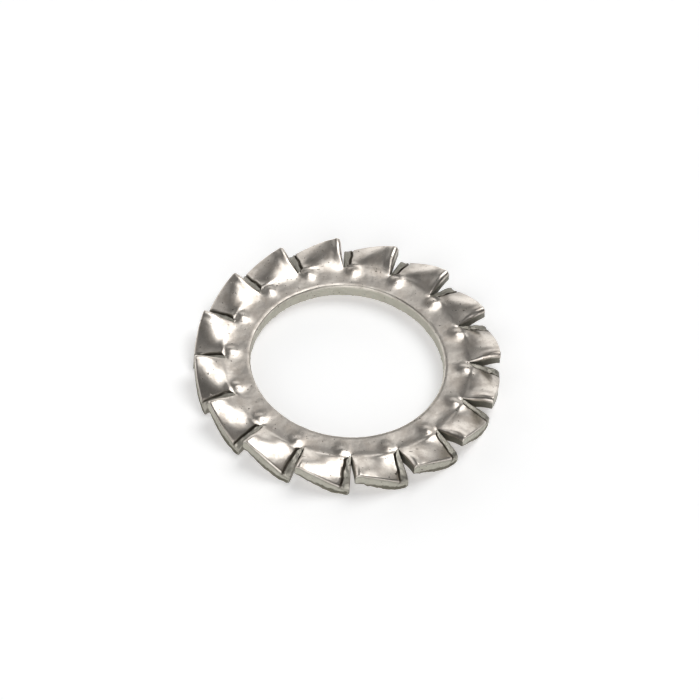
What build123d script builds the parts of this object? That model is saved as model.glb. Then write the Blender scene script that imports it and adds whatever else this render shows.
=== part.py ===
"""Toothed lock washer: a stamped flat ring whose rim is lanced into twisted teeth."""
import os
from math import atan2, cos, degrees, pi, radians, sin, tan

from build123d import *

# Ring and teeth in plan
bore_diameter = 13.0
rim_width = 1.55  # flat ring, from the wall of the bore to the bend line of the teeth
tooth_reach = 2.2  # from the bend line to the outer edge
tooth_count = 16
slot_width_root = 0.06  # lanced gap between two teeth, where it starts
slot_width_tip = 0.32  # the same gap at the outer edge

# Heights
sheet_thickness = 1.0
heel_drop = 0.52  # underside of a lowered edge below the ring's underside
crest_rise = 0.63  # top of a raised edge above the ring's upper face
raised_edge_height = 0.76  # height of the raised cut edge at the tip, where it was pinched
lowered_edge_height = 0.83  # height of the lowered cut edge at the tip

# Raised edge
crest_radius = 0.24  # rolled crest along the raised edge
cut_lean = 0.1  # how far the foot of the cut face stands out past its head
crest_rise_power = 1.5  # how softly the crest leaves the bend line

# Lowered edge
land_width_tip = 0.68  # rough level land along the lowered edge
land_width_root = 0.4
land_fall = 0.08  # the land's outer side below its inner side
heel_bevel = 0.12  # worn corner under the lowered edge
heel_drop_power = 1.6  # how softly the heel leaves the bend line

# Face between the two edges
crown = 0.25  # share by which the face is flatter by the crest and steeper by the land

# Edge of the bore
bore_bevel = 0.12  # edge that the punch drew in round the upper rim of the bore

# Derived sizes
bore_radius = bore_diameter / 2
bend_line = bore_radius + rim_width
outer_radius = bend_line + tooth_reach
pitch_angle = 360 / tooth_count
trim_height = 2 * (heel_drop + sheet_thickness + crest_rise)
section_count = 7
section_step = 0.2  # share of the reach; the last section lies past the outer edge, to be trimmed round
section_shares = [place * section_step for place in range(section_count)]


def between(root_size, tip_size, share):
    """Size at a share of the reach, growing evenly from the bend line to the tip."""
    return root_size + (tip_size - root_size) * share


def tooth_section(share):
    """Upright section across a tooth, from its raised edge to its lowered edge."""
    distance = bend_line + share * tooth_reach
    half_width = distance * tan(radians(pitch_angle / 2)) - between(slot_width_root, slot_width_tip, share) / 2
    raised_edge = between(sheet_thickness, raised_edge_height, share)
    lowered_edge = between(sheet_thickness, lowered_edge_height, share)
    lean = cut_lean * share

    arch = sin(min(share, 1) * pi / 2) ** crest_rise_power
    crest_height = sheet_thickness + crest_rise * arch
    heel_height = -heel_drop * share**heel_drop_power
    land_height = heel_height + lowered_edge
    toe = (half_width - heel_bevel, heel_height)
    face_end = (half_width - between(land_width_root, land_width_tip, share), land_height + land_fall * share)

    # Cut face of the raised edge, leaning back from its foot
    foot = (-half_width, crest_height - raised_edge)
    lean_angle = degrees(atan2(raised_edge, lean))
    cut_rise = raised_edge - crest_radius * (1 - cos(radians(lean_angle)))
    roll_start = (foot[0] + lean * cut_rise / raised_edge, foot[1] + cut_rise)

    # Mean fall of the face, from the crest to the land
    fall = degrees(atan2(crest_height - face_end[1], face_end[0] - roll_start[0] - crest_radius))
    crest_fall = fall * (1 - crown)
    land_slope = radians(fall * (1 + crown))
    foot_slope = radians(crest_fall)

    with BuildSketch(Plane(origin=(distance, 0, 0), x_dir=(0, 1, 0), z_dir=(1, 0, 0))) as section:
        with BuildLine():
            Line(foot, roll_start)
            crest = JernArc(roll_start, (lean, raised_edge), crest_radius, -(lean_angle + crest_fall))
            Spline(crest @ 1, face_end, tangents=(crest % 1, (cos(land_slope), -sin(land_slope))))
            Line(face_end, (half_width, land_height))
            Line((half_width, land_height), (half_width, heel_height + heel_bevel))
            Line((half_width, heel_height + heel_bevel), toe)
            Spline(toe, foot, tangents=((-1, 0), (-cos(foot_slope), sin(foot_slope))))
        make_face()
    return section.sketch


# One twisted tooth on the X axis, trimmed to the outer edge
with BuildPart() as tooth:
    loft(sections=[tooth_section(share) for share in section_shares])
    with BuildSketch(Plane.XY):
        Circle(outer_radius)
    extrude(amount=trim_height, both=True, mode=Mode.INTERSECT)

# Flat ring with a straight bend line for each tooth, and the teeth on it
with BuildPart() as stamping:
    with BuildSketch(Plane.XY):
        RegularPolygon(bend_line, tooth_count, major_radius=False, rotation=pitch_angle / 2)
        Circle(bore_radius, mode=Mode.SUBTRACT)
    extrude(amount=sheet_thickness)
    upper_bore_rim = stamping.edges().filter_by(GeomType.CIRCLE).group_by(Axis.Z)[-1]
    chamfer(upper_bore_rim, length=bore_bevel)
    with PolarLocations(0, tooth_count):
        add(tooth.part)

# The washer lies on its heels, which touch the XY plane
with BuildPart() as washer:
    with Locations((0, 0, -stamping.part.bounding_box().min.Z)):
        add(stamping.part)

washer.part.label = "washer"

os.makedirs("parts", exist_ok=True)
export_step(washer.part, "parts/washer.step")
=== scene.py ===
from math import cos, pi, radians, sin

import bmesh
import bpy
import numpy as np
from mathutils import Matrix, Vector


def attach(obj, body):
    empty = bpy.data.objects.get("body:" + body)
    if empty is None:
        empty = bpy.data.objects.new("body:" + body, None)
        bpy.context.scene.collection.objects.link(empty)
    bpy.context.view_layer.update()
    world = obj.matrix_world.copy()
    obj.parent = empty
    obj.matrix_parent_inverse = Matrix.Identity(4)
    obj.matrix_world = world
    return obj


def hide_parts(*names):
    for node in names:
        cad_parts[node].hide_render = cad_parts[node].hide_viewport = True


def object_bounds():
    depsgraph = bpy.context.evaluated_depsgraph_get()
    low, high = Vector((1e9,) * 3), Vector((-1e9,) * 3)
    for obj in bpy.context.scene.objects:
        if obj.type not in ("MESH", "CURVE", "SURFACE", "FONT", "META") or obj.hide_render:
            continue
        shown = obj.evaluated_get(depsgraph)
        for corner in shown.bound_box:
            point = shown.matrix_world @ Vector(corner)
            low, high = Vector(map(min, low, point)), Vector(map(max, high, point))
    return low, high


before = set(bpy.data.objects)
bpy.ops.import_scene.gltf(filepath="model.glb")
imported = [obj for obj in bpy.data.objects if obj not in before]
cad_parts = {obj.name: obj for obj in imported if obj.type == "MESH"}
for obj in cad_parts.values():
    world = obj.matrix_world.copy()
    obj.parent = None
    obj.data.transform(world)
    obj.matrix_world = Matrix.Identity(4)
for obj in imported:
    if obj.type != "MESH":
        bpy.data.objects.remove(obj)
cad_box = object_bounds()

# Camera, from the photograph's viewing angle
CAMERA_DISTANCE = 0.330
CAMERA_ELEVATION = radians(50.3)
CAMERA_AZIMUTH = radians(-85.2)
CAMERA_ROLL = radians(5.95)
AIM_RIGHT = 0.00026  # the picture's centre lies this far right of the bore's axis
AIM_UP = 0.00161  # and this far above it
PIXELS_PER_METRE = 14930  # at the camera's distance
PICTURE_WIDTH = 700
SENSOR_WIDTH = 36.0
CLIP_START = 0.01

# Washer, in millimetres and radians. The plan, the thickness and the heights of the teeth are those of
# the part's source, and the smaller forms follow the photograph more closely. A pair is a size at the
# root of a tooth and at its tip, and a share is one of the tooth's reach unless it says otherwise.
MILLIMETRE = 0.001
BORE_RADIUS = 6.5
BEND_LINE = 8.05
OUTER_RADIUS = 10.25
TOOTH_REACH = OUTER_RADIUS - BEND_LINE
TOOTH_COUNT = 16
PITCH = 2 * pi / TOOTH_COUNT
SLOT_ROOT_RADIUS = 8.2
SLOT_WIDTH = (0.06, 0.32)
THICKNESS = 1.0
RING_LIFT = 0.472  # underside of the ring above the floor
HEEL_DROP = 0.52
HEEL_DROP_POWER = 2.0
CREST_RISE = 0.63
CREST_PEAK_SHARE = 0.92
BEND_START_SHARE = -0.3  # the teeth begin to twist this far inside the bend line
RAISED_EDGE = (1.0, 0.76)  # height of the cut face on the raised edge
LOWERED_EDGE = (1.0, 0.83)
CUT_LEAN = 0.03  # how far that cut face leans back
CREST_RADIUS = (0.06, 0.28)
CREST_RADIUS_GROWTH = 2.5  # how quickly the crest's radius grows along the reach
LAND_WIDTH = (0.46, 0.7)  # rough level land along the lowered edge
LAND_ROOT_WIDTH = 0.3  # share of its width that the land has where it opens
LAND_ROOT_SHARE = 0.16  # the land opens out over this share
LAND_FALL = 0.1
CROWN = 0.3  # share by which the face is flatter by the crest and steeper by the land

# Finer forms than the source has
LAND_STEP = (0.16, 0.08)  # drop from a tooth's face to its land
GROOVE_DEPTH = (0.13, 0.1)  # torn groove at the foot of that drop
GROOVE_WIDTH = (0.2, 0.17)
GROOVE_LEAST_WIDTH = 0.01
GROOVE_PROFILE = (
    (0.16, 0.26, 0.42, 0.7, 1),  # shares of its width
    (0.25, 0.8, 1, 1, 1),  # shares of the drop there
    (0.3, 0.6, 1, 0.7, 0),  # shares of its depth there
)
GROOVE_UNEVEN = 0.25
TEAR = 0.015  # unevenness of the border between face and land
TEAR_POWER = 6  # how close to the border the face follows it
TEAR_APART = 9.0  # step in the random field from one tooth to the next
LAND_ROLL = 0.2  # how far the outer end of the land is worn down
LAND_ROLL_REACH = 0.42
LAND_ROLL_GROWTH = 3  # how quickly that wear sets in across the land
BEAD_VALLEY = 0.024  # dip between the rolled crest and the face
BEAD_PLACE = 0.62
BEAD_SPREAD = 0.17
CORNER_RADIUS = 0.07  # worn outer corner of the land
CORNER_GROWTH = (0.15, 4)  # share of the radius at the root, and how quickly it grows along the reach
HEEL_RADIUS = 0.16
HEEL_GROWTH = (0.2, 2)
OUTER_ROLL = 0.09  # blanked outer edge, drawn in at its upper side
BORE_ROLL = 0.13
LOWER_ROLL = 0.04
EDGE_FADE = 3  # how quickly the forms of the outer edge die out on the sides of the slots
RING_FADE = 2.5  # how softly the twist of the teeth begins on the ring
RING_BLEND = 0.8  # how quickly neighbouring teeth blend into each other there
BUMP_HEIGHT = 0.13  # mound raised beside the root of each slot
BUMP_RADIUS = 7.84
BUMP_ANGLE = PITCH / 2 - radians(4.5)
BUMP_SPREAD = (0.44, 0.38)  # along the radius and across it
RAGGED = 0.03  # torn surface of the cut faces
RAGGED_UPWARD = 0.35  # share of it that runs upward there
BURR = 0.035  # ragged lower rim of the blanked edge
BURR_REACH = 0.24
SETBACK = 0.03  # how far the torn lower part of that edge lies behind the smooth part
SETBACK_SHARPNESS = 6
SMOOTH_SHARE = (0.92, 0.42)  # smooth upper share of the blanked edge, at the raised and the lowered edge
WAVER = 0.006  # slow unevenness of the rolled sheet
SHARP_ANGLE = radians(48)

# Differences between the teeth: for each, the limits that one number for every tooth is drawn between
TOOTH_LIMITS = {
    "crest": (0.0, -0.04),
    "heel": (0.0, -0.03),
    "land": (-0.09, 0.06),
    "slot": (-0.04, 0.06),
    "crown": (-0.12, 0.12),
    "edge": (-0.04, 0.1),
    "groove": (0.7, 1.5),
}

# Random fields: wavelength, seed and number of waves
SEED = 11
WAVER_FIELD = (2.4, SEED + 1, 14)
RAGGED_FIELDS = ((0.5, SEED + 2, 30), (0.24, SEED + 3, 40))
BURR_FIELDS = ((0.7, SEED + 4, 12), (0.3, SEED + 5, 12))
TEAR_FIELD = (0.8, SEED + 6, 12)
COARSE_SHARE = 0.6  # weight of the coarser of two fields
WAVE_LENGTHS = (0.6, 1.5)  # shortest and longest wave of a field, as shares of its wavelength

# Marks on the mesh and their usual values: torn surface, wall of a slot (darker, partly oxide and partly
# painted shade), painted shade in grooves, along the top of the blanked edge and on faces by the lands, and
# how far below the smooth part of the blanked edge
MARKS = {"cut": 0.0, "slot": 0.0, "crevice": 0.0, "fracture": -1.0}
LAND_CUT = 0.7
CREST_CUT = 0.5
RIM_CUT = 0.3
# Painted shade across the columns of the groove at the foot of the land's drop
GROOVE_SHADE = (0.5, 1, 1, 1, 0.5)
EDGE_SHADE_SHARE = 0.25  # upper share of the blanked edge over which a painted shade fades out
LAND_SHADE = (0.4, 1.15)  # painted shade on the lands, on the lightest side of the washer and across from it
# Side of the washer where the lands and faces get the least painted shade
LIGHTEST_SIDE = 11 * PITCH
FACE_SHADE = 0.9  # painted shade on the faces, next to the most shaded lands
FACE_SHADE_POWER = 1.5
FACE_SHADE_ROOT_SHARE = 0.3

# Mesh counts and rows
CREST_COLUMNS = 9
FACE_COLUMNS = 26
GROOVE_COLUMNS = len(GROOVE_SHADE)
LAND_COLUMNS = 9
CORNER_COLUMNS = 4
TOP_COLUMNS = CREST_COLUMNS + FACE_COLUMNS + GROOVE_COLUMNS + LAND_COLUMNS + CORNER_COLUMNS
FACE_SHADE_COLUMNS = 17
SIDE_ROWS = 10
HEEL_ROWS = 4
REACH_STATIONS = 22
ROLL_STATIONS = 4
BORE_ROLL_ROWS = 4
BORE_WALL_ROWS = 8
UPPER_RING_RADII = (8.12, 8.04, 7.95, 7.86, 7.76, 7.66, 7.54, 7.4, 7.2, 6.98, 6.78, BORE_RADIUS + BORE_ROLL)
LOWER_RING_RADII = (6.8, 7.2, 7.5, 7.7, 7.9, 8.07)
RING_SAMPLES = 4096
SHARE_PASSES = 3


def mix(start, end, share):
    return start + (end - start) * share


def ripple(points, wavelength, seed, waves):
    """Smooth random field of about unit size over points in millimetres."""
    random = np.random.default_rng(seed)
    directions = random.normal(size=(points.shape[-1], waves))
    directions /= np.linalg.norm(directions, axis=0)
    lengths = wavelength * random.uniform(*WAVE_LENGTHS, waves)
    phases = random.uniform(0, 2 * pi, waves)
    return np.cos(points @ directions * (2 * pi / lengths) + phases).sum(-1) / (waves / 2) ** 0.5


def two_ripples(points, fields):
    """Coarse random field with a finer one over it."""
    coarse, fine = (ripple(points, *field) for field in fields)
    return COARSE_SHARE * coarse + (1 - COARSE_SHARE) * fine


def eased(share, end):
    """Rises softly from 0 at the root to 1 at a share of the reach."""
    t = np.clip(share / end, 0, 1)
    return t * t * (3 - 2 * t)


def softened(angles, heights, spread):
    """Heights at angles round the washer, blurred over an angle."""
    even = np.arange(RING_SAMPLES) * (2 * pi / RING_SAMPLES)
    waves = np.fft.rfft(np.interp(even, angles, heights, period=2 * pi))
    waves *= np.exp(-((np.arange(waves.size) * spread) ** 2) / 2)
    return np.interp(angles, even, np.fft.irfft(waves), period=2 * pi)


def hermite(start, start_way, end, end_way, t):
    """Curve between two places, leaving and arriving in the ways given."""
    reach = np.hypot(end[0] - start[0], end[1] - start[1])
    return tuple(
        (2 * t**3 - 3 * t**2 + 1) * start[i] + (t**3 - 2 * t**2 + t) * reach * start_way[i]
        + (3 * t**2 - 2 * t**3) * end[i] + (t**3 - t**2) * reach * end_way[i]
        for i in (0, 1)
    )


def falling(angle):
    """Way of a line that falls at an angle."""
    return np.cos(angle), -np.sin(angle)


class Section:
    """Upright section across a tooth, at every share of the reach asked for.

    Its methods give places across the tooth, from the raised edge, and up.
    """

    def __init__(self, share, radius, tooth):
        self.share, self.radius, self.tooth = share, radius, tooth
        self.width = radius * PITCH - slot_width(share, tooth)
        self.edge = mix(*RAISED_EDGE, share) + tooth["edge"] * share

        # Heights
        rise = np.clip((share - BEND_START_SHARE) / (CREST_PEAK_SHARE - BEND_START_SHARE), 0, 1)
        arch = rise**3 * (10 - 15 * rise + 6 * rise**2)
        self.crest_z = THICKNESS + (CREST_RISE + tooth["crest"]) * arch
        self.foot_z = self.crest_z - self.edge
        drop = np.maximum(share - BEND_START_SHARE, 0) / (1 - BEND_START_SHARE)
        self.heel_z = -(HEEL_DROP + tooth["heel"]) * drop**HEEL_DROP_POWER
        self.land_z = self.heel_z + mix(*LOWERED_EDGE, share)

        # Land and groove
        self.opening = eased(share, LAND_ROOT_SHARE)
        land = mix(LAND_WIDTH[0], LAND_WIDTH[1] + tooth["land"], share)
        land = land * mix(LAND_ROOT_WIDTH, 1, self.opening)
        self.step = mix(*LAND_STEP, share) * self.opening
        self.face_end = (self.width - land, self.land_z + LAND_FALL * share + self.step * (1 - share))
        self.groove_width = mix(*GROOVE_WIDTH, share) * self.opening + GROOVE_LEAST_WIDTH
        self.worn = LAND_ROLL * np.maximum((radius - OUTER_RADIUS) / LAND_ROLL_REACH + 1, 0) ** 2
        self.corner_radius = CORNER_RADIUS * np.minimum(share * CORNER_GROWTH[1] + CORNER_GROWTH[0], 1)
        self.heel_radius = HEEL_RADIUS * np.minimum(share * HEEL_GROWTH[1] + HEEL_GROWTH[0], 1)

        # Rolled crest, and slopes of the face beside it and beside the land
        lean = CUT_LEAN * share
        self.lean_angle = np.arctan2(self.edge, lean)
        self.roll = mix(*CREST_RADIUS, np.minimum(share * CREST_RADIUS_GROWTH, 1))
        rise = self.edge - self.roll * (1 - np.cos(self.lean_angle))
        self.roll_start = (lean * rise / self.edge, self.foot_z + rise)
        fall = np.arctan2(
            self.crest_z - self.face_end[1],
            self.face_end[0] - self.roll_start[0] - self.roll,
        )
        crown = CROWN + tooth["crown"]
        self.crest_fall = fall * (1 - crown)
        self.land_slope = fall * (1 + crown)

    def rolled(self, heading):
        """Place on the rolled crest where it heads up at an angle."""
        return (
            self.roll_start[0] + self.roll * np.sin(self.lean_angle) - self.roll * np.sin(heading),
            self.roll_start[1] - self.roll * np.cos(self.lean_angle) + self.roll * np.cos(heading),
        )

    def uneven(self):
        """Random unevenness along the border between face and land."""
        apart = np.full_like(self.radius, self.tooth["number"] * TEAR_APART)
        return ripple(np.stack((self.radius, apart), -1), *TEAR_FIELD)

    def land_start(self):
        across = self.face_end[0] + TEAR * self.uneven() * self.opening + self.groove_width
        return across, self.face_end[1] - self.step

    def land_end(self):
        return self.width - self.corner_radius, np.minimum(self.land_z, self.land_start()[1])

    def crest(self, t):
        return self.rolled(mix(self.lean_angle, -self.crest_fall, t))

    def face(self, t):
        start = self.rolled(-self.crest_fall)
        across, up = hermite(start, falling(self.crest_fall), self.face_end, falling(self.land_slope), t)
        dip = BEAD_VALLEY * self.share * np.exp(-(((across - BEAD_PLACE) / BEAD_SPREAD) ** 2))
        return across + TEAR * self.uneven() * self.opening * t**TEAR_POWER, up - dip

    def groove(self, t):
        along, down, dug = (np.array(line)[None, :] for line in GROOVE_PROFILE)
        uneven = self.uneven()
        depth = mix(*GROOVE_DEPTH, self.share) * self.opening * self.tooth["groove"]
        depth = depth * (1 + GROOVE_UNEVEN * uneven)
        across = self.face_end[0] + TEAR * uneven * self.opening + self.groove_width * along
        return across, self.face_end[1] - self.step * down - depth * dug

    def land(self, t):
        start, end = self.land_start(), self.land_end()
        worn = self.worn * np.minimum(t * LAND_ROLL_GROWTH, 1)
        return mix(start[0], end[0], t), mix(start[1], end[1], t) - worn

    def corner(self, t):
        angle = t * pi / 2
        across, up = self.land_end()
        radius = self.corner_radius
        return across + radius * np.sin(angle), up - self.worn - radius + radius * np.cos(angle)


TOP_BLOCKS = (
    (Section.crest, CREST_COLUMNS),
    (Section.face, FACE_COLUMNS),
    (Section.groove, GROOVE_COLUMNS),
    (Section.land, LAND_COLUMNS),
    (Section.corner, CORNER_COLUMNS),
)


def slot_width(share, tooth):
    return mix(*SLOT_WIDTH, share) + tooth["slot"] * share


def top_strip(share, radius, tooth):
    """Over the top of a tooth, from its raised edge to its lowered edge."""
    across, up = np.empty_like(share), np.empty_like(share)
    place = 0
    for block, count in TOP_BLOCKS:
        columns = slice(place, place + count)
        first = min(place, 1)
        t = (np.arange(count) + first) / (count - 1 + first)
        section = Section(share[:, columns], radius[:, columns], tooth)
        across[:, columns], up[:, columns] = block(section, t[None, :])
        place += count
    return across, up


def lowered_strip(share, radius, tooth):
    """Down the wall of the lowered edge and round its heel."""
    s = Section(share, radius, tooth)
    straight = SIDE_ROWS - HEEL_ROWS
    row = np.arange(1, SIDE_ROWS)[None, :] * np.ones_like(share)
    angle = np.clip((row - straight) / HEEL_ROWS, 0, 1) * pi / 2
    across = s.width - s.heel_radius * (1 - np.cos(angle))
    wall = mix(s.land_z - s.worn - s.corner_radius, s.heel_z + s.heel_radius, np.minimum(row / straight, 1))
    return across, wall - s.heel_radius * np.sin(angle)


def raised_strip(share, radius, tooth):
    """Down the cut face of the raised edge, to its foot."""
    s = Section(share, radius, tooth)
    t = np.arange(1, SIDE_ROWS)[None, :] * np.ones_like(share) / SIDE_ROWS
    return mix(s.roll_start[0], 0, t), mix(s.roll_start[1], s.foot_z, t)


def under_strip(share, radius, tooth):
    """Underside, from the foot of the raised edge to the heel."""
    s = Section(share, radius, tooth)
    t = np.linspace(0, 1, share.shape[1])[None, :]
    foot, heel = (np.zeros_like(share), s.foot_z), (s.width - s.heel_radius, s.heel_z)
    return hermite(foot, falling(s.crest_fall), heel, falling(np.zeros_like(share)), t)


def strip_places(strip, radii, columns, tooth):
    """Angle from the middle of the tooth, and height, of a strip at each radius."""
    radius = radii * np.ones((1, columns))
    share = np.clip((radius - BEND_LINE) / TOOTH_REACH, BEND_START_SHARE, 1)
    for _ in range(SHARE_PASSES):
        across, up = strip(share, radius, tooth)
        angle = (slot_width(share, tooth) / 2 + across) / radius - PITCH / 2
        share = np.clip((radius * np.cos(angle) - BEND_LINE) / TOOTH_REACH, BEND_START_SHARE, 1)
    return angle, up


class Grid:
    """Vertices in cylinder coordinates, with marks that the material reads, and the faces between them."""

    def __init__(self):
        self.radius, self.angle, self.height, self.faces = [], [], [], []
        self.marks = {name: [] for name in MARKS}
        self.count = 0

    def add(self, radius, angle, height, **marks):
        marks = [marks.get(name, MARKS[name]) for name in MARKS]
        fields = np.broadcast_arrays(radius, angle, height, *marks)
        indices = self.count + np.arange(fields[0].size).reshape(fields[0].shape)
        self.count += fields[0].size
        for store, values in zip((self.radius, self.angle, self.height, *self.marks.values()), fields):
            store.append(values.ravel())
        return indices

    def quads(self, rows):
        """Faces over a table of vertex numbers."""
        corners = (rows[:-1, :-1], rows[1:, :-1], rows[1:, 1:], rows[:-1, 1:])
        self.faces.append(np.stack(corners, -1).reshape(-1, 4))

    def places(self, vertices):
        """Angles and heights of vertices."""
        return np.concatenate(self.angle)[vertices], np.concatenate(self.height)[vertices]

    def arrays(self):
        places = [np.concatenate(values) for values in (self.radius, self.angle, self.height, self.faces)]
        return *places, {name: np.concatenate(values) for name, values in self.marks.items()}


def tooth_radii():
    """Radii of the rows along a tooth, and the drop of its upper side where the outer edge is drawn in."""
    angle = np.arange(1, ROLL_STATIONS + 1) / ROLL_STATIONS * pi / 2
    reach = np.linspace(SLOT_ROOT_RADIUS, OUTER_RADIUS - OUTER_ROLL, REACH_STATIONS)
    radii = np.append(reach, OUTER_RADIUS - OUTER_ROLL + OUTER_ROLL * np.sin(angle))
    drop = np.append(np.zeros(REACH_STATIONS), OUTER_ROLL * (1 - np.cos(angle)))
    return radii[:, None], drop[:, None]


def top_marks(radii, middle):
    """Marks on the top of a tooth, column by column."""
    land = CREST_COLUMNS + FACE_COLUMNS
    cut, slot, crevice, face_shading = np.zeros((4, TOP_COLUMNS))
    cut[0] = CREST_CUT
    cut[land:] = LAND_CUT
    slot[land:] = 1
    # painted shade in the groove
    crevice[land:land + GROOVE_COLUMNS] = GROOVE_SHADE
    # painted shade on the faces beside the lands, growing from the root
    face_shading[land - FACE_SHADE_COLUMNS:land] = np.linspace(0, FACE_SHADE, FACE_SHADE_COLUMNS) ** FACE_SHADE_POWER
    reached = eased((radii - SLOT_ROOT_RADIUS) / TOOTH_REACH, FACE_SHADE_ROOT_SHARE)
    # Lands and faces darker on one side of the washer: painted shade
    side_shade = mix(*LAND_SHADE, (1 - cos(middle - LIGHTEST_SIDE)) / 2)
    return {"cut": cut, "slot": slot * side_shade, "crevice": crevice + face_shading * reached * (side_shade - LAND_SHADE[0])}


def add_tooth(grid, tooth):
    """All sides of a tooth but its root; gives the vertex numbers of its strips."""
    middle = tooth["number"] * PITCH
    radii, drop = tooth_radii()
    lift = drop * LOWER_ROLL / OUTER_ROLL
    rim = eased(radii - OUTER_RADIUS + BURR_REACH, BURR_REACH)
    side = np.arange(1, SIDE_ROWS)[None, :] / SIDE_ROWS

    def places(strip, columns):
        angle, height = strip_places(strip, radii, columns, tooth)
        return middle + angle, height

    def burr(angle):
        return BURR * two_ripples(np.stack((np.cos(angle), np.sin(angle)), -1) * OUTER_RADIUS, BURR_FIELDS)

    def add_side(strip):
        angle, height = places(strip, SIDE_ROWS - 1)
        forms = (lift + rim * burr(angle)) * side**EDGE_FADE - drop * (1 - side) ** EDGE_FADE
        return grid.add(radii, angle, height + forms, cut=1.0, slot=1.0)

    angle, height = places(top_strip, TOP_COLUMNS)
    top = grid.add(radii, angle, height - drop, **top_marks(radii, middle))
    angle, height = places(under_strip, TOP_COLUMNS)
    # The outer row of the underside is marked torn: rougher, and darker partly as painted shade under the
    # edge
    fracture = np.full(angle.shape, MARKS["fracture"])
    fracture[-1] = 1
    under = grid.add(radii, angle, height + lift + rim * burr(angle), fracture=fracture)
    raised = add_side(raised_strip)
    lowered = add_side(lowered_strip)
    grid.quads(np.concatenate((top, lowered, under[:, ::-1], raised[:, ::-1], top[:, :1]), 1))

    # Blanked outer edge
    down = np.arange(1, SIDE_ROWS)[:, None] / SIDE_ROWS
    top_angle, top_height = grid.places(top[-1:, 1:-1])
    under_angle, under_height = grid.places(under[-1:, 1:-1])
    smooth = mix(*SMOOTH_SHARE, np.linspace(0, 1, TOP_COLUMNS - 2))
    # The top of the blanked edge gets a painted shade that fades out downward
    edge = grid.add(
        OUTER_RADIUS, mix(top_angle, under_angle, down), mix(top_height, under_height, down),
        cut=1.0, crevice=np.maximum(1 - down / EDGE_SHADE_SHARE, 0), fracture=down - smooth,
    )
    edge = np.concatenate((raised[-1][:, None], edge, lowered[-1][:, None]), 1)
    grid.quads(np.concatenate((top[-1:], edge, under[-1:]), 0))
    return {"top": top, "under": under, "raised": raised, "lowered": lowered}


def add_slot_walls(grid, teeth):
    """Wall at the root of each slot."""
    for before, after in zip(teeth, teeth[1:] + teeth[:1]):
        left = np.concatenate((before["top"][0, -1:], before["lowered"][0], before["under"][0, -1:]))
        right = np.concatenate((after["top"][0, :1], after["raised"][0], after["under"][0, :1]))
        grid.quads(np.stack((left, right), 0))


def add_ring(grid, teeth):
    """Ring, from the roots of the slots in to the bore, down it and out again; gives its upper rows."""
    top = np.concatenate([tooth["top"][0] for tooth in teeth])
    under = np.concatenate([tooth["under"][0] for tooth in teeth])
    top_angle, top_height = grid.places(top)
    under_angle, under_height = grid.places(under)
    twist_start = BEND_LINE + BEND_START_SHARE * TOOTH_REACH

    def add_flat(radius, angle, height, level):
        """Row that still has some of the twist of the teeth."""
        weight = max((radius - twist_start) / (SLOT_ROOT_RADIUS - twist_start), 0) ** RING_FADE
        spread = RING_BLEND * (SLOT_ROOT_RADIUS - radius) / radius
        return grid.add(radius, angle, level + softened(angle, height - level, spread) * weight)

    upper = [add_flat(radius, top_angle, top_height, THICKNESS) for radius in UPPER_RING_RADII]
    bore = []
    for angle in np.arange(1, BORE_ROLL_ROWS + 1) / BORE_ROLL_ROWS * pi / 2:
        radius = BORE_RADIUS + BORE_ROLL * (1 - sin(angle))
        bore.append(grid.add(radius, top_angle, THICKNESS - BORE_ROLL * (1 - cos(angle)), cut=RIM_CUT))
    for t in np.arange(1, BORE_WALL_ROWS + 1) / BORE_WALL_ROWS:
        height = mix(THICKNESS - BORE_ROLL, LOWER_ROLL, t)
        bore.append(grid.add(BORE_RADIUS, mix(top_angle, under_angle, t), height, cut=1.0))
    bore.append(grid.add(BORE_RADIUS + LOWER_ROLL, under_angle, 0.0, cut=RIM_CUT))
    lower = [add_flat(radius, under_angle, under_height, 0.0) for radius in LOWER_RING_RADII]
    table = np.stack([top, *upper, *bore, *lower, under])
    grid.quads(np.concatenate((table, table[:, :1]), 1))
    return upper


def mound(radius, angle):
    """Height of the mounds beside the roots of the slots."""
    offset = np.mod(angle - BUMP_ANGLE + PITCH / 2, PITCH) - PITCH / 2
    distance = np.hypot((radius - BUMP_RADIUS) / BUMP_SPREAD[0], offset * radius / BUMP_SPREAD[1])
    return BUMP_HEIGHT * np.exp(-distance**2)


def washer_mesh():
    """Points in metres, faces and marks of the whole washer."""
    random = np.random.default_rng(SEED)
    grid = Grid()
    teeth = []
    for number in range(TOOTH_COUNT):
        tooth = {name: mix(*limits, random.random()) for name, limits in TOOTH_LIMITS.items()}
        teeth.append(add_tooth(grid, {"number": number, **tooth}))
    add_slot_walls(grid, teeth)
    ring_rows = add_ring(grid, teeth)
    radius, angle, height, faces, marks = grid.arrays()
    cut = marks["cut"]

    upper = np.zeros(grid.count)
    upper[np.concatenate([tooth["top"].ravel() for tooth in teeth] + ring_rows)] = 1
    height = height + upper * mound(radius, angle)
    points = np.stack((radius * np.cos(angle), radius * np.sin(angle), height), -1)

    # Slow unevenness of the sheet, and torn cut faces
    points[:, 2] += WAVER * ripple(points * (1, 1, 0), *WAVER_FIELD)
    ragged = RAGGED * cut * two_ripples(points, RAGGED_FIELDS)
    behind = np.clip(marks["fracture"] * SETBACK_SHARPNESS, 0, 1) * SETBACK
    outward = np.stack((np.cos(angle), np.sin(angle), np.zeros_like(angle)), -1)
    points -= outward * ((np.abs(ragged) + behind) * (cut == 1))[:, None]
    points[:, 2] += ragged * np.where(cut == LAND_CUT, 1.0, RAGGED_UPWARD)

    # Onto its heels, and no further than the solid reaches
    points[:, 2] += RING_LIFT
    low, high = cad_box[0][2] / MILLIMETRE, cad_box[1][2] / MILLIMETRE
    points[:, 2] = np.clip(points[:, 2], low, high)
    reach = np.hypot(points[:, 0], points[:, 1])
    points[:, :2] *= np.minimum(1, OUTER_RADIUS / reach)[:, None]
    return points * MILLIMETRE, faces, marks


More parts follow.
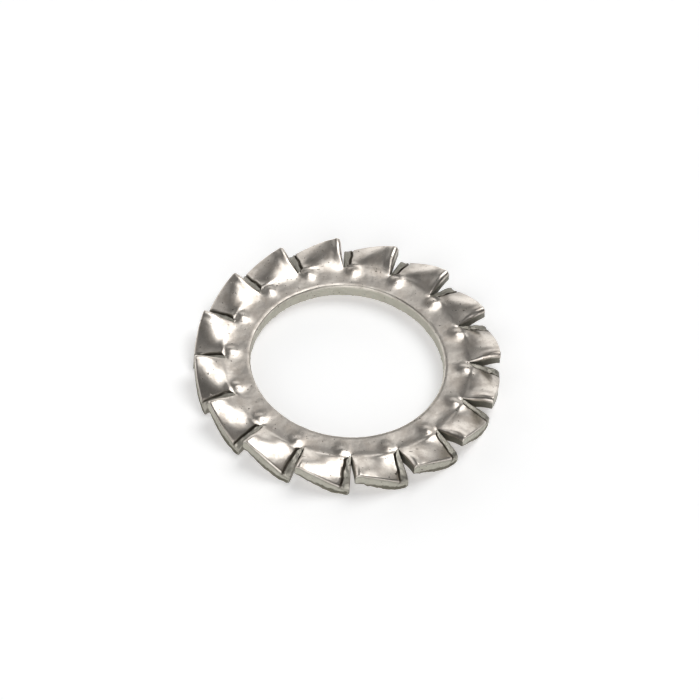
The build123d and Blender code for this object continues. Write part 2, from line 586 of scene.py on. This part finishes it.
def add_washer():
    points, faces, marks = washer_mesh()
    mesh = bpy.data.meshes.new("washer_steel_body")
    mesh.from_pydata(points.tolist(), [], faces.tolist())
    worked = bmesh.new()
    worked.from_mesh(mesh)
    bmesh.ops.recalc_face_normals(worked, faces=worked.faces)
    worked.to_mesh(mesh)
    worked.free()
    mesh.polygons.foreach_set("use_smooth", np.ones(len(mesh.polygons), bool))
    mesh.set_sharp_from_angle(angle=SHARP_ANGLE)
    for name, values in marks.items():
        attribute = mesh.attributes.new(name, "FLOAT", "POINT")
        attribute.data.foreach_set("value", values.astype(np.float32))
    piece = bpy.data.objects.new("washer_visual", mesh)
    bpy.context.scene.collection.objects.link(piece)
    mesh.materials.append(steel_material())
    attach(piece, "root")
    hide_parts("washer")


class Nodes:
    """Short way to add nodes to a material and link them."""

    def __init__(self, tree):
        self.tree = tree

    def add(self, kind, **settings):
        node = self.tree.nodes.new(kind)
        for name, value in settings.items():
            if name.startswith("in_"):
                node.inputs[name[3:].replace("_", " ")].default_value = value
            else:
                setattr(node, name, value)
        return node

    def link(self, source, target):
        self.tree.links.new(source, target)

    def value(self, socket, source):
        """Sets a socket to a number or a colour, or links it."""
        if isinstance(source, (int, float)):
            socket.default_value = source
        elif isinstance(source, tuple):
            socket.default_value = (*source, 1.0)
        else:
            self.link(source, socket)

    def math(self, operation, *values):
        node = self.add("ShaderNodeMath", operation=operation)
        for socket, value in zip(node.inputs, values):
            self.value(socket, value)
        return node.outputs[0]

    def noise(self, vector, scale, detail=2.0, roughness=0.5):
        node = self.add("ShaderNodeTexNoise", in_Scale=scale, in_Detail=detail, in_Roughness=roughness)
        self.link(vector, node.inputs["Vector"])
        return node.outputs["Fac"]

    def ranged(self, source, low, high, to_low=0.0, to_high=1.0):
        """Soft step from one number to another while the source goes from low to high."""
        node = self.add("ShaderNodeMapRange", interpolation_type="SMOOTHSTEP")
        names = ("Value", "From Min", "From Max", "To Min", "To Max")
        for name, value in zip(names, (source, low, high, to_low, to_high)):
            self.value(node.inputs[name], value)
        return node.outputs["Result"]

    def blend(self, share, first, second):
        node = self.add("ShaderNodeMix", data_type="RGBA")
        self.value(node.inputs[0], share)
        self.value(node.inputs[6], first)
        self.value(node.inputs[7], second)
        return node.outputs[2]


# Steel
ROLLED_COLOUR = (0.70, 0.65, 0.59)
TARNISH_COLOUR = (0.42, 0.37, 0.32)
CUT_COLOUR = (0.50, 0.49, 0.42)
# Slot walls and lands: partly oxide on the lanced cuts, partly painted shade of the slots
SLOT_COLOUR = (0.22, 0.21, 0.18)
# Torn lower part of the blanked edge: its fracture zone, darkened further as painted shade at the foot of
# the edge
FRACTURE_AND_SHADE_COLOUR = (0.19, 0.18, 0.14)
# Colour of pits, also used for the painted shade in grooves, along the top of the blanked edge and on faces
PIT_AND_SHADE_COLOUR = (0.16, 0.14, 0.12)
TARNISH_SHARE = 0.7
SPECK_SHARE = 0.4
CUT_SHARE = 0.85
SLOT_SHARE = 0.8
BROKEN_SHARE = 0.85
PAINTED_SHADE_SHARE = 0.85
# Noise, per millimetre: scale, detail and roughness
TARNISH_NOISE = (1.1, 6.0, 0.65)
SPECK_NOISE = (7.0, 3.0, 0.6)
PIT_NOISE = (5.5, 1.0)
TORN_NOISE = (9.0, 4.0, 0.65)
BREAK_NOISE = (3.5, 3.0)
HAMMERED_NOISE = (1.6, 2.0)
GRAIN_NOISE = (5.0, 2.0)
# Where in the noise each pattern begins and is full
TARNISH_RANGE = (0.42, 0.68)
SPECK_RANGE = (0.52, 0.72)
PIT_RANGE = (0.705, 0.75)
BREAK_RANGE = (-0.05, 0.12)
BREAK_RAGGED = 0.5  # how far the border of the broken zone strays
# Roughness of the rolled sheet, and what each pattern adds
ROLLED_ROUGHNESS = 0.29
TARNISH_ROUGHNESS = 0.08
SPECK_ROUGHNESS = 0.06
CUT_ROUGHNESS = 0.2
BROKEN_ROUGHNESS = 0.15
# Relief: a height in metres, and how many of it each pattern stands up
RELIEF_DISTANCE = 0.00003
HAMMERED_RELIEF = 0.5
GRAIN_RELIEF = 0.05
PIT_RELIEF = -0.4
TORN_RELIEF = 1.2


def steel_material():
    material = bpy.data.materials.new("washer_steel_surface")
    material.use_nodes = True
    n = Nodes(material.node_tree)
    shader = material.node_tree.nodes["Principled BSDF"]
    shader.inputs["Metallic"].default_value = 1.0

    mapping = n.add("ShaderNodeMapping", in_Scale=[1 / MILLIMETRE] * 3)
    n.link(n.add("ShaderNodeTexCoord").outputs["Object"], mapping.inputs["Vector"])
    place = mapping.outputs["Vector"]
    cut, slot, crevice, fracture = (
        n.add("ShaderNodeAttribute", attribute_name=name).outputs["Fac"] for name in MARKS
    )
    tarnish = n.ranged(n.noise(place, *TARNISH_NOISE), *TARNISH_RANGE)
    specks = n.ranged(n.noise(place, *SPECK_NOISE), *SPECK_RANGE)
    pits = n.ranged(n.noise(place, *PIT_NOISE), *PIT_RANGE)
    stray = n.math("MULTIPLY_ADD", n.noise(place, *BREAK_NOISE), BREAK_RAGGED, -BREAK_RAGGED / 2)
    broken = n.ranged(n.math("ADD", fracture, stray), *BREAK_RANGE)
    torn = n.math("MULTIPLY", n.noise(place, *TORN_NOISE), cut)

    colour = ROLLED_COLOUR
    for pattern, share, paint in (
        (tarnish, TARNISH_SHARE, TARNISH_COLOUR),
        (specks, SPECK_SHARE, TARNISH_COLOUR),
        (cut, CUT_SHARE, CUT_COLOUR),
        # slot walls and lands darker, partly oxide and partly painted shade
        (slot, SLOT_SHARE, SLOT_COLOUR),
        # torn lower edge darker, partly its fracture zone and partly painted shade
        (broken, BROKEN_SHARE, FRACTURE_AND_SHADE_COLOUR),
        # painted shade in grooves, along the top of the blanked edge and on faces by the lands
        (crevice, PAINTED_SHADE_SHARE, PIT_AND_SHADE_COLOUR),
        (pits, 1.0, PIT_AND_SHADE_COLOUR),
    ):
        colour = n.blend(n.math("MULTIPLY", pattern, share), colour, paint)
    n.link(colour, shader.inputs["Base Color"])

    rough = ROLLED_ROUGHNESS
    for pattern, added in (
        (tarnish, TARNISH_ROUGHNESS),
        (specks, SPECK_ROUGHNESS),
        (cut, CUT_ROUGHNESS),
        (broken, BROKEN_ROUGHNESS),
    ):
        rough = n.math("MULTIPLY_ADD", pattern, added, rough)
    n.link(rough, shader.inputs["Roughness"])

    relief = 0.0
    for pattern, height in (
        (n.noise(place, *HAMMERED_NOISE), HAMMERED_RELIEF),
        (n.noise(place, *GRAIN_NOISE), GRAIN_RELIEF),
        (pits, PIT_RELIEF),
        (torn, TORN_RELIEF),
    ):
        relief = n.math("MULTIPLY_ADD", pattern, height, relief)
    bump = n.add("ShaderNodeBump", in_Strength=1.0, in_Distance=RELIEF_DISTANCE)
    n.link(relief, bump.inputs["Height"])
    n.link(bump.outputs["Normal"], shader.inputs["Normal"])
    return material


def add_camera():
    outward = Vector((
        cos(CAMERA_ELEVATION) * cos(CAMERA_AZIMUTH),
        cos(CAMERA_ELEVATION) * sin(CAMERA_AZIMUTH),
        sin(CAMERA_ELEVATION),
    ))
    turn = outward.to_track_quat("Z", "Y").to_matrix().to_4x4() @ Matrix.Rotation(CAMERA_ROLL, 4, "Z")
    aim = turn @ Vector((AIM_RIGHT, AIM_UP, 0))
    data = bpy.data.cameras.new("camera")
    data.sensor_width = SENSOR_WIDTH
    data.lens = SENSOR_WIDTH * PIXELS_PER_METRE * CAMERA_DISTANCE / PICTURE_WIDTH
    data.clip_start = CLIP_START
    camera = bpy.data.objects.new("camera", data)
    camera.matrix_world = Matrix.Translation(aim + outward * CAMERA_DISTANCE) @ turn
    bpy.context.scene.collection.objects.link(camera)
    bpy.context.scene.camera = camera


FLOOR_SIDE = 3.0  # half of its side, in metres
FLOOR_COLOUR = (0.9, 0.9, 0.9)
FLOOR_ROUGHNESS = 0.8
FLOOR_SPECULAR = 0.2
FLOOR_GLOW = 0.33  # what the camera and the steel see added, so that the floor is white


def add_floor():
    mesh = bpy.data.meshes.new("floor")
    corners = [(x * FLOOR_SIDE, y * FLOOR_SIDE, 0) for x, y in ((-1, -1), (1, -1), (1, 1), (-1, 1))]
    mesh.from_pydata(corners, [], [(0, 1, 2, 3)])
    floor = bpy.data.objects.new("floor", mesh)
    bpy.context.scene.collection.objects.link(floor)
    material = bpy.data.materials.new("floor_white")
    material.use_nodes = True
    n = Nodes(material.node_tree)
    shader = material.node_tree.nodes["Principled BSDF"]
    shader.inputs["Base Color"].default_value = (*FLOOR_COLOUR, 1)
    shader.inputs["Roughness"].default_value = FLOOR_ROUGHNESS
    shader.inputs["Specular IOR Level"].default_value = FLOOR_SPECULAR
    shader.inputs["Emission Color"].default_value = (1, 1, 1, 1)
    path = n.add("ShaderNodeLightPath")
    seen = n.math("MAXIMUM", path.outputs["Is Camera Ray"], path.outputs["Is Glossy Ray"])
    n.link(n.math("MULTIPLY", seen, FLOOR_GLOW), shader.inputs["Emission Strength"])
    floor.data.materials.append(material)


# Soft lights in the surroundings: azimuth and elevation of the middle, angles from it
# at which the light is full and gone, all in degrees, and radiance
SOFT_LIGHTS = (
    (46, 61, 12, 28, 3.6),
    (165, 40, 4, 28, 0.6),
    (-90, 20, 14, 36, 2.2),
)
# Glow of the pale surroundings: azimuth, full and gone height, full and gone angle to the side, radiance
GLOWS = (
    (125, 20, 34, 45, 75, 1.5),
    (112, 38, 50, 14, 38, 0.6),
)
WORLD_DARK = 0.05


def direction(azimuth, elevation):
    azimuth, elevation = radians(azimuth), radians(elevation)
    return Vector((cos(elevation) * cos(azimuth), cos(elevation) * sin(azimuth), sin(elevation)))


def add_lights():
    world = bpy.data.worlds.new("studio")
    world.use_nodes = True
    n = Nodes(world.node_tree)
    background = world.node_tree.nodes["Background"]
    way = n.add("ShaderNodeTexCoord").outputs["Generated"]
    split = n.add("ShaderNodeSeparateXYZ")
    n.link(way, split.inputs[0])

    def near(middle, full, gone):
        """1 within the full angle of a direction, softly 0 beyond the gone angle."""
        dot = n.add("ShaderNodeVectorMath", operation="DOT_PRODUCT")
        n.link(way, dot.inputs[0])
        dot.inputs[1].default_value = middle
        return n.ranged(dot.outputs["Value"], cos(radians(gone)), cos(radians(full)))

    total = WORLD_DARK
    for azimuth, full_height, gone_height, full_side, gone_side, radiance in GLOWS:
        low = n.ranged(split.outputs["Z"], sin(radians(full_height)), sin(radians(gone_height)), 1.0, 0.0)
        glow = n.math("MULTIPLY", low, near(direction(azimuth, 0), full_side, gone_side))
        total = n.math("MAXIMUM", total, n.math("MULTIPLY", glow, radiance))
    for azimuth, elevation, full, gone, radiance in SOFT_LIGHTS:
        light = n.math("MULTIPLY", near(direction(azimuth, elevation), full, gone), radiance)
        total = n.math("ADD", total, light)
    n.link(total, background.inputs["Strength"])
    background.inputs["Color"].default_value = (1, 1, 1, 1)
    bpy.context.scene.world = world


add_washer()
add_camera()
add_floor()
add_lights()
bpy.context.scene.view_settings.view_transform = "Standard"
